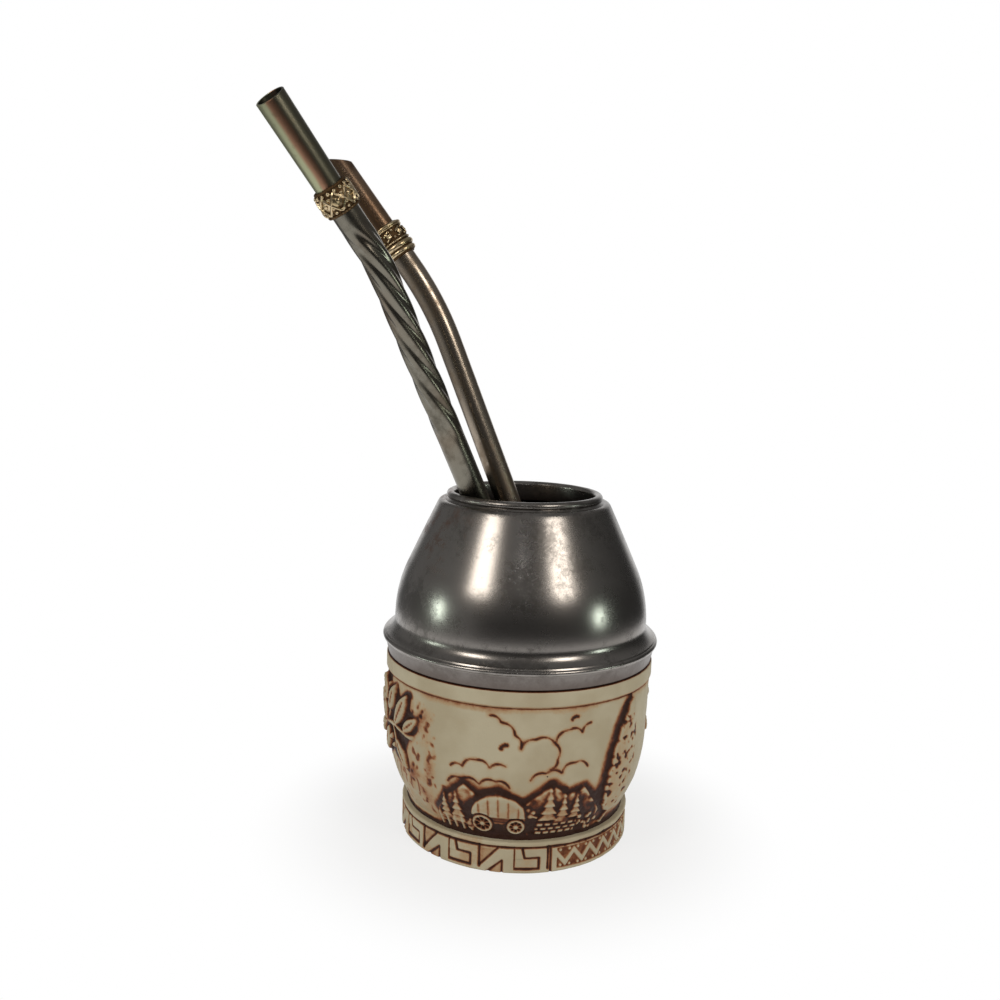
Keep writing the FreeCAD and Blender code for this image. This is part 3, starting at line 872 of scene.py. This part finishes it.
def wagon(relief, s, z, rise, scale):
    """A covered wagon: a ribbed canvas hood over planks and two spoked wheels."""
    x, y = (c / scale for c in relief.local(s, z))
    hood = smooth(1 - np.hypot(x / 6.4, np.clip(y - 4.4, 0, 99) / 5.3), 0.0, 0.12) * (y > 4.2)
    ribs = smooth(np.abs((x / 2.1) % 1 - 0.5), 0.36, 0.5)
    around = smooth(1.28 - np.hypot(x / 6.4, (y - 4.4) / 5.3), 0.0, 0.25) * (y > 2)
    relief.shade(0.75 * around * (1 - hood))
    relief.clean(0.92 * hood)
    relief.shade(0.55 * hood * ribs)
    relief.raise_to(hood * (rise + 0.12 * (1 - ribs)))
    bed = smooth(np.maximum(np.abs(x) - 5.9, np.abs(y - 3.3) - 1.0), 0.15, -0.1)
    plank = smooth(np.abs((y - 2.4) % 0.65 - 0.32), 0.22, 0.32)
    relief.clean(0.7 * bed)
    relief.shade(0.7 * bed * plank)
    relief.raise_to(bed * rise * 0.75)
    for shift, size in ((-3.7, 2.3), (3.8, 2.0)):
        far = np.hypot(x - shift, y - size + 0.2)
        angle = np.arctan2(y - size + 0.2, x - shift)
        rim = 1 - smooth(np.abs(far - size + 0.3), 0.22, 0.45)
        spoke = smooth(np.abs((angle / (2 * math.pi) * 8) % 1 - 0.5) * far, 0.26, 0.12) * (far < size)
        hub = 1 - smooth(far, 0.4, 0.65)
        mark = np.maximum(np.maximum(rim, spoke), hub)
        inside = far < size + 0.35
        relief.height = np.where(inside, 0.2 * rise, relief.height)
        relief.patina = np.where(inside, 1.0 - 0.85 * mark, relief.patina)
        relief.raise_to(inside * mark * rise * 1.05)


def poplar(relief, foot, top, width, rise, seed):
    """A tall narrow tree of stippled foliage over a short trunk."""
    (s0, z0), (s1, z1) = foot, top
    length = math.dist(foot, top)
    x, y = relief.local(s0, z0, math.degrees(math.atan2(z1 - z0, s1 - s0)))
    t = np.clip((x - length * 0.1) / (length * 0.9), 0, 1)
    half = width / 2 * np.sin(math.pi * np.clip(t, 0.0, 1.0) ** 0.62) ** 0.55
    edge = relief.grain(0.55, seed) * 0.22
    inside = smooth(half + edge - np.abs(y), 0.0, 0.55) * (x > length * 0.09) * (x < length)
    outside = np.abs(y) - half
    relief.shade(0.95 * (1 - smooth(outside, 0.2, 3.6)) * (y > 0) * (x > 0) * (x < length + 1.2))
    relief.shade(0.5 * (1 - smooth(outside, 0.1, 1.0)) * (y < 0) * (x > 0) * (x < length))
    relief.clean(0.93 * inside)
    dots = relief.grain(0.34, seed + 1)
    flecks = smooth(dots, 0.55, 1.5) * inside
    relief.shade(0.8 * flecks)
    body = rise * (0.45 + 0.55 * np.sqrt(np.clip(1 - (y / (half + 0.4)) ** 2, 0, 1)))
    relief.raise_to(inside * body - 0.28 * flecks)
    far = relief.path([foot, (s0 + (s1 - s0) * 0.12, z0 + (z1 - z0) * 0.12)])[0]
    relief.raise_to(rise * 0.8 * (1 - smooth(far, 0.5, 0.9)))


def rocks(relief, s, z, width, height, seed):
    """A patch of stippled stony ground with small carved flecks."""
    x, y = relief.local(s, z)
    zone = smooth(np.abs(x) / (width / 2), 1.0, 0.72) * smooth(np.abs(y) / (height / 2), 1.0, 0.72)
    dots = relief.grain(0.5, seed)
    soft = relief.grain(1.6, seed + 1)
    flecks = smooth(dots, 0.8, 1.7) * zone
    relief.height += zone * 0.10 * soft - 0.22 * flecks
    relief.shade(0.45 * flecks + 0.10 * zone * np.abs(soft))


STEMS = (
    (((-11, 30), (-4, 34.5), (3, 35.4), (11, 34.2)), 0.75, 1.0),
    (((-3, 34.6), (-1, 40), (-2, 46)), 0.6, 0.9),
    (((1, 35.3), (4, 29.5)), 0.5, 0.8),
)
LEAVES = (
    (-3, 35.0, 148, 12.0, 5.6, 1.45),
    (-1, 38.5, 66, 9.5, 4.6, 1.35),
    (-2, 41.0, 124, 8.5, 4.6, 1.45),
    (3, 35.6, 58, 12.5, 5.0, 1.25),
    (7.5, 35.2, 38, 8.5, 3.8, 1.1),
    (-6, 33.2, 208, 9.5, 5.0, 1.45),
    (-1.5, 33.8, 252, 9.0, 4.4, 1.3),
    (3.4, 31.5, 306, 9.5, 3.8, 0.95),
)
BERRIES = ((-9, 38.5, 1.3), (-7, 40.6, 1.2), (-10.6, 41.4, 1.1), (0.5, 31.2, 1.0), (2.6, 29.4, 0.9))
CLOUDS = (
    ((-19, 30.5), (-15.4, 31.0), (-11.4, 33.4), (-7.8, 31.6), (-3.4, 32.4)),
    ((-20, 25.6), (-15.6, 27.4), (-10.6, 26.6), (-6.2, 28.0), (-2.2, 26.2)),
    ((-8.2, 46.2), (-5.0, 44.6), (-1.2, 41.2), (0.4, 37.6)),
    ((0.4, 37.6), (4.2, 40.2), (9.4, 39.0), (10.4, 34.4), (8.4, 31.6)),
    ((9.6, 39.0), (13.4, 42.4), (17.2, 41.2), (19.8, 43.6)),
    ((3.2, 28.6), (7.4, 30.6), (11.8, 30.4), (15.4, 33.0), (19.4, 31.4)),
)
PUFFS = ((((-4.8, 37.4), (-3.4, 38.4)), 0.7), (((14.0, 45.2), (15.6, 45.8)), 0.55))
HILLS = (
    (((-25, 16), (-20, 22.0), (-15, 26.2), (-11, 23.4), (-5, 25.2), (2, 18)), 0.6),
    (((-4, 17), (3, 22.6), (9.5, 27.4), (14, 24.0), (19, 25.6), (26, 17)), 0.65),
)
PINES = ((-21.5, 14.2, 8.6), (-17.6, 13.0, 11.0), (9.0, 16.0, 11.5), (13.2, 15.2, 10.0), (17.0, 16.2, 8.6))
BUSHES = ((21.0, 15.0, 2.3, 0.9), (24.0, 12.6, 1.9, 0.85), (-14.2, 12.6, 1.5, 0.85), (4.4, 18.6, 1.7, 0.85))


def moved(points, s):
    """Points of a motif at its place round the pot."""
    return [(s + ds, z) for ds, z in points]


def carve_left(relief, s, seed):
    """A branch of broad leaves and berries over a deep brown hollow."""
    x, y = relief.local(s, 36.5)
    hollow = smooth(np.hypot(x / 13.5, y / 12.5) + 0.16 * relief.grain(1.6, seed), 1.05, 0.62)
    relief.height -= 0.35 * hollow
    relief.shade(1.05 * smooth(hollow, 0.25, 0.9))
    for points, thickness, height in STEMS:
        stem(relief, moved(points, s), thickness, height)
    for ds, *rest in LEAVES:
        leaf(relief, s + ds, *rest)
    for ds, z, size in BERRIES:
        berry(relief, s + ds, z, size, 1.4)
    for k in range(7):
        blade = [(s - 6 + 3.1 * k, 24.2 - 0.3 * k), (s - 8.5 + 3.4 * k, 20.6 - 0.5 * k)]
        relief.cut(relief.path(blade)[0], 0.32, 0.16, 0.75)


def carve_sky(relief, s):
    """Carved lines of clouds on the smooth field."""
    for points in CLOUDS:
        cloud_line(relief, moved(points, s))
    for points, width in PUFFS:
        cloud_line(relief, moved(points, s), width)


def carve_land(relief, s, seed):
    """Hills, a wagon, a wall, a fence, pines and bushes along the foot of the field."""
    x = relief.local(s + 3, 18.0)[0]
    zone = smooth(np.abs(x), 27.0, 21.0)
    low = smooth(relief.z, 24.5 + 1.6 * relief.grain(2.0, seed), 16.5) * zone
    relief.shade(0.9 * low)
    relief.height -= 0.3 * low
    for i, (points, rise) in enumerate(HILLS, 1):
        hill(relief, moved(points, s), rise, seed + i)
    for ds, z, tall in PINES:
        pine(relief, s + ds, z, tall, tall * 0.52, 0.9)
    wagon(relief, s - 5.2, 11.6, 1.0, 1.32)
    wall(relief, s + 5.6, 11.0, 13.0, 4.5, 0.95)
    fence(relief, s - 24.5, 11.2, 10.5, 5, 0.85)
    for i, (ds, *rest) in enumerate(BUSHES, 3):
        bush(relief, s + ds, *rest, seed + i)


RELIEF_RADIUS = 38.0
KEY_PERIODS = 11
CARTOUCHE = 29.2
ZIGZAG_GAP = 5.6


def pot_relief():
    """The whole sculpted zone between the plain band and the base ring."""
    relief = Relief(RELIEF_RADIUS, RING_HEIGHT, BAND_FOOT, 0.2)
    for turn, seed in ((0.0, 10), (relief.turn / 2, 60)):
        rocks(relief, turn - 28.5, 33, 13, 28, seed)
        rocks(relief, turn - 34, 19, 20, 15, seed + 2)
        rocks(relief, turn + 31, 20, 16, 16, seed + 4)
        carve_sky(relief, turn + 1)
        carve_land(relief, turn + 1, seed + 6)
        carve_left(relief, turn - 43.5, seed + 14)
        poplar(relief, (turn + 31.5, 11.2), (turn + 36.5, 47.4), 12.0, 1.0, seed + 20)
    top = smooth(relief.z, BAND_FOOT - 2.6, BAND_FOOT - 0.2)
    uneven = relief.grain(6.0, 5)
    relief.shade(0.30 * top * smooth(uneven, -0.6, 1.4))
    relief.cut(BAND_FOOT - relief.z, 0.75, 0.35, 0.75)
    relief.cut(relief.z - RING_HEIGHT - 0.4, 1.5, 0.2, 0.9)
    relief.shade(0.55 * smooth(relief.z, 13.5, 10.5) * smooth(uneven, -1.5, 0.8))
    rough = 0.035 * relief.grain(1.1, 6) + 0.05 * relief.grain(0.4, 7) * smooth(relief.patina, 0.1, 0.6)
    relief.height = relief.blur(relief.height * 1.15, 0.12) + rough
    cavity = relief.blur(relief.height, 1.1) - relief.height
    relief.shade(1.5 * np.clip(cavity - 0.06, 0, 1))
    relief.shade(0.34 * relief.blur(relief.patina, 1.7))
    relief.clean(0.88 * smooth(-cavity, 0.07, 0.30))
    relief.patina = relief.blur(relief.patina, 0.12)
    return relief


def key_ring():
    """The base ring: a carved line over a key of zigzags and hooks, all the way round."""
    relief = Relief(RING_RADIUS, 0.0, RING_HEIGHT + 0.2, 0.1)
    period = relief.turn / KEY_PERIODS
    x = (relief.s - 0.5) % period
    hook_x, zig_x = x, x - period / 2
    z = relief.z
    wobble = 0.05 * relief.grain(1.3, 31)

    def line(base, points, width):
        """Carve a line through points."""
        relief.cut(to_line(base, z, points)[0] + wobble, width, 0.42)

    def field(base, points, colour):
        """Sink a field with straight sides and tan it."""
        inside = np.full_like(x, 1e9)
        for (x0, z0), (x1, z1) in zip(points, points[1:] + points[:1]):
            dx, dz = x1 - x0, z1 - z0
            inside = np.minimum(inside, ((z - z0) * dx - (base - x0) * dz) / math.hypot(dx, dz))
        mask = smooth(inside, 0.0, 0.35)
        relief.height -= 0.25 * mask
        relief.shade(colour * mask)

    relief.cut(np.abs(z - 7.4) + wobble, 0.52, 0.45)
    field(zig_x, [(0.3, 1.4), (5.3, 7.0), (0.3, 7.0)], 0.26)
    field(zig_x, [(2.3, 0.0), (6.4, 0.0), (6.4, 3.6)], 0.26)
    field(hook_x, [(0.3, 1.5), (6.9, 1.5), (6.9, 4.3), (0.3, 4.3)], 0.08)
    line(zig_x, [(0.0, 7.4), (0.0, 1.3)], 0.62)
    line(zig_x, [(0.1, 1.6), (5.3, 7.2)], 0.45)
    line(zig_x, [(2.3, 0.0), (6.4, 3.6), (6.4, 0.0)], 0.5)
    line(hook_x, [(0.0, 7.4), (0.0, 1.3), (7.0, 1.3), (7.0, 4.4), (3.0, 4.4), (2.4, 7.0)], 0.55)
    for centre in (CARTOUCHE, CARTOUCHE + relief.turn / 2):
        cartouche(relief, centre, 2 * period - 0.5)
    low_edge = smooth(z, 0.7, 0.0)
    relief.shade(0.12 * low_edge)
    relief.shade(0.15 * smooth(relief.grain(2.5, 32), 0.4, 1.6))
    speck = smooth(relief.grain(0.35, 33), 3.2, 3.8)
    relief.height -= 0.3 * speck
    relief.shade(1.0 * speck)
    relief.height = relief.blur(relief.height, 0.12) + 0.02 * relief.grain(0.9, 34)
    relief.patina = relief.blur(relief.patina, 0.10)
    return relief


def cartouche(relief, centre, length):
    """A framed brown panel with a raised zigzag and dots."""
    x, y = relief.local(centre, 3.8)
    panel = (np.abs(x) < length / 2) & (relief.z < 6.9)
    relief.height = np.where(panel, 0.0, relief.height)
    relief.patina = np.where(panel, 0.0, relief.patina)
    relief.cut(np.where(relief.z < 7.4, np.abs(np.abs(x) - length / 2 + 0.5), 9.0), 0.5, 0.4)
    field = smooth(np.maximum(np.abs(x) - length / 2 + 2.4, np.abs(y) - 2.9), 0.12, -0.12)
    ramp = np.abs((x / ZIGZAG_GAP) % 1 - 0.5) * 4 - 1
    line = smooth(np.abs(y - 1.7 * ramp), 1.15, 0.75)
    dot_x = ((x / ZIGZAG_GAP * 2) % 1 - 0.5) * ZIGZAG_GAP / 2
    dots = smooth(np.hypot(dot_x, np.abs(y) - 2.2), 0.55, 0.30)
    raised = np.maximum(line, dots * smooth(np.abs(y - 1.7 * ramp), 1.3, 1.6))
    relief.height -= 0.5 * field * (1 - raised)
    relief.shade(0.62 * field * (1 - raised))


def wrap_relief(thing, relief, inner, low, high):
    """Press a relief into the outer skin of a turned piece."""
    spots = corners(thing)
    radius = np.hypot(spots[:, 0], spots[:, 1])
    outer = radius > inner
    ease = smooth(spots[:, 2], low - 0.02, low + 0.3) * smooth(spots[:, 2], high + 0.02, high - 0.25)
    shift = relief.sample(relief.height, spots) * ease * outer
    spots[:, :2] *= ((radius + shift) / radius)[:, None]
    thing.data.vertices.foreach_set("co", (spots * MM).ravel())
    store(thing, "patina", relief.sample(relief.patina, spots) * outer)
    thing.data.update()


def make_pot():
    """The resin pot: plain band, sculpted wall and base ring."""
    material = resin()
    band = [(CAVITY_RADIUS, POT_HEIGHT), (BAND_RADIUS - 0.7, POT_HEIGHT)]
    band += arc(BAND_RADIUS - 0.7, POT_HEIGHT - 0.7, 0.7, 80, 0, 6)
    band += [(BAND_RADIUS, BAND_FOOT + 0.35), (BAND_RADIUS - 0.15, BAND_FOOT)]
    band += [(BAND_RADIUS - 0.6, BAND_FOOT - 0.3), (CAVITY_RADIUS, BAND_FOOT - 0.3)]
    thing = piece("pot_band", lathe(divided(band, 0.4), CUP_STEPS), material, ["resin_pot"])
    spots = corners(thing)
    turn = np.arctan2(spots[:, 0], -spots[:, 1])
    heavy = 0.35 + 0.35 * smooth(np.abs(turn), 0.2, 0.8)
    foot = smooth(spots[:, 2], BAND_FOOT + 0.6, BAND_FOOT - 0.1)
    # painted shade: a dark line along the top of the band, in the crease under the cup's hem
    crease_shade = smooth(spots[:, 2], POT_HEIGHT - 0.35, POT_HEIGHT - 0.1)
    # the patina attribute here holds brown staining towards the band's foot and the painted shade line
    # under the hem
    store(thing, "patina", np.maximum(heavy * foot, crease_shade))
    top = RING_HEIGHT
    wall_line = [(BAND_RADIUS - 0.45, BAND_FOOT), (BAND_RADIUS - 0.9, 31.0)]
    wall_line += crown(wall_line[-1], (WAIST_RADIUS, WAIST_TOP), 1.35, 24)
    wall_line += [(WAIST_RADIUS, top + 0.1)]
    outline = divided(wall_line, 0.34) + [(30.5, top + 0.1), (30.5, 26.0)]
    outline += [(CAVITY_RADIUS, 26.5), (CAVITY_RADIUS, BAND_FOOT)]
    mesh = lathe(outline, RELIEF_STEPS)
    thing = piece("pot_relief", mesh, material, ["resin_pot"], sharp=70)
    wrap_relief(thing, pot_relief(), 31.5, top, BAND_FOOT)
    ring = [(RING_RADIUS - 1.4, top + 0.15)]
    ring += arc(RING_RADIUS - 0.5, top - 0.5, 0.5, 90, 0, 4)
    ring += arc(RING_RADIUS - 0.4, 0.4, 0.4, 0, -90, 4)
    outline = divided(ring, 0.19) + [(30.0, 0.0), (0.0, 0.0)]
    outline += [(0.0, POT_FLOOR), (28.0, POT_FLOOR), (28.0, top + 0.15)]
    mesh = lathe(outline, RING_STEPS)
    thing = piece("pot_ring", mesh, material, ["resin_pot"], sharp=70)
    wrap_relief(thing, key_ring(), RING_RADIUS - 0.7, -1.0, top + 1.0)


# ------------------------------------------------------------------ stage and light

FLOOR_RADIUS = 0.30
FLOOR_GREY = 0.8
SHADOW_NEAR, SHADOW_FAR, SHADOW_SHARE = 0.040, 0.082, 0.74
FRONT_LEVEL = 0.05
LEFT_LEVEL = 0.22
TOP_LEVEL = 0.22
FILL_LEVEL = 0.50


def make_floor():
    """A round pale floor that keeps a soft shadow and fades to plain white."""
    mesh = bmesh.new()
    bmesh.ops.create_circle(mesh, cap_ends=True, radius=FLOOR_RADIUS, segments=96)
    data = bpy.data.meshes.new("floor")
    mesh.to_mesh(data)
    mesh.free()
    floor = bpy.data.objects.new("floor", data)
    bpy.context.scene.collection.objects.link(floor)
    shade = Shade("floor", specular=0.0)
    far = (shade.x * shade.x + shade.y * shade.y) ** 0.5
    mask = far.step(SHADOW_NEAR, SHADOW_FAR, SHADOW_SHARE, 1.0) * shade.seen_rays()
    glow = shade.node("ShaderNodeEmission", inputs={"Color": (1, 1, 1, 1), "Strength": 1.0})
    shade.principled.inputs["Base Color"].default_value = (FLOOR_GREY, FLOOR_GREY, FLOOR_GREY, 1)
    plain = Value(shade, shade.principled.outputs[0])
    blend = shade.node("ShaderNodeMixShader", inputs={0: mask, 1: plain, 2: glow})
    shade.tree.links.new(blend.socket, shade.output.inputs["Surface"])
    floor.data.materials.append(shade.material)


def make_world():
    """A room that is white behind the object, grey on the left and dim elsewhere.

    The camera sees plain white all round; matt surfaces get a dim even fill.
    """
    world = bpy.data.worlds.new("studio")
    world.use_nodes = True
    bpy.context.scene.world = world
    nodes = Nodes(world.node_tree)
    x, y, z = nodes.axes(nodes.node("ShaderNodeTexCoord", output="Generated"))

    def blend(factor, first, second):
        return nodes.node("ShaderNodeMix", {"data_type": "FLOAT"}, {0: factor, 2: first, 3: second})

    room = x.step(-0.35, -0.85, 0.0, LEFT_LEVEL).most(z.step(0.0, 0.9, FRONT_LEVEL, TOP_LEVEL))
    room = room.most(y.step(0.78, 0.93))
    room = blend(nodes.seen_rays(), FILL_LEVEL, room)
    room = blend(nodes.node("ShaderNodeLightPath", output="Is Camera Ray"), room, 1.0)
    back = world.node_tree.nodes["Background"]
    back.inputs["Color"].default_value = (1.0, 1.0, 1.0, 1.0)
    world.node_tree.links.new(room.socket, back.inputs["Strength"])


LAMP_AIM = (0.0, 0.0, 0.07)
LAMP_DISTANCE = 0.8
CAMERA_PLACE = (0.0, -0.2981, 0.14385)
CAMERA_ANGLES = (8.866, -1.363, 1.844)  # down, to the right, and about the line of sight
CAMERA_LENS = 37.584


def lamp(name, azimuth, elevation, size, radiance, colour):
    """A square lamp aimed at the object; azimuth runs from the front towards +X."""
    a, e = math.radians(azimuth), math.radians(elevation)
    away = Vector((math.sin(a) * math.cos(e), -math.cos(a) * math.cos(e), math.sin(e)))
    data = bpy.data.lights.new(name, "AREA")
    data.size = size
    data.energy = radiance * math.pi * size * size
    data.color = colour
    thing = bpy.data.objects.new(name, data)
    turned = away.to_track_quat("Z", "Y").to_matrix().to_4x4()
    thing.matrix_world = Matrix.Translation(Vector(LAMP_AIM) + away * LAMP_DISTANCE) @ turned
    bpy.context.scene.collection.objects.link(thing)


def make_lights():
    """Two broad warm lamps in front, two small greenish ones at the sides and a spot between."""
    warm, green = (1.0, 0.95, 0.88), (0.84, 1.0, 0.90)
    lamp("left_key", -43, 33, 0.24, 7.0, warm)
    lamp("right_key", 43, 33, 0.24, 7.0, warm)
    lamp("left_side", -77, 4, 0.15, 7.0, green)
    lamp("right_side", 73, 4, 0.14, 7.0, green)
    lamp("centre_spot", -1, 33, 0.03, 14.0, (1.0, 1.0, 1.0))


def make_camera():
    """A camera a little above the rim, level with the straws' middle."""
    data = bpy.data.cameras.new("camera")
    data.sensor_width = 36.0
    data.lens = CAMERA_LENS
    data.clip_start = 0.01
    pitch, yaw, roll = (math.radians(a) for a in CAMERA_ANGLES)
    turned = Matrix.Rotation(-yaw, 4, "Z") @ Matrix.Rotation(math.pi / 2 - pitch, 4, "X")
    turned = turned @ Matrix.Rotation(roll, 4, "Z")
    thing = bpy.data.objects.new("camera", data)
    thing.matrix_world = Matrix.Translation(CAMERA_PLACE) @ turned
    bpy.context.scene.collection.objects.link(thing)
    bpy.context.scene.camera = thing


def main():
    """Build every piece, then the stage."""
    make_cup()
    make_pot()
    steel = tube_metal("straw steel", (0.205, 0.19, 0.155), (0.12, 0.108, 0.085), (0.20, 0.145, 0.10), 0.21)
    bronze = tube_metal("brown bronze", (0.30, 0.20, 0.13), (0.13, 0.08, 0.05), (0.24, 0.135, 0.075), 0.22)
    make_tubes(steel)
    make_mouthpieces(nickel_with_painted_light(), bronze)
    gold = ornament_metal()
    make_ring(gold)
    make_collar(gold)
    make_floor()
    make_world()
    make_lights()
    make_camera()
    bpy.context.scene.view_settings.view_transform = "Standard"


main()
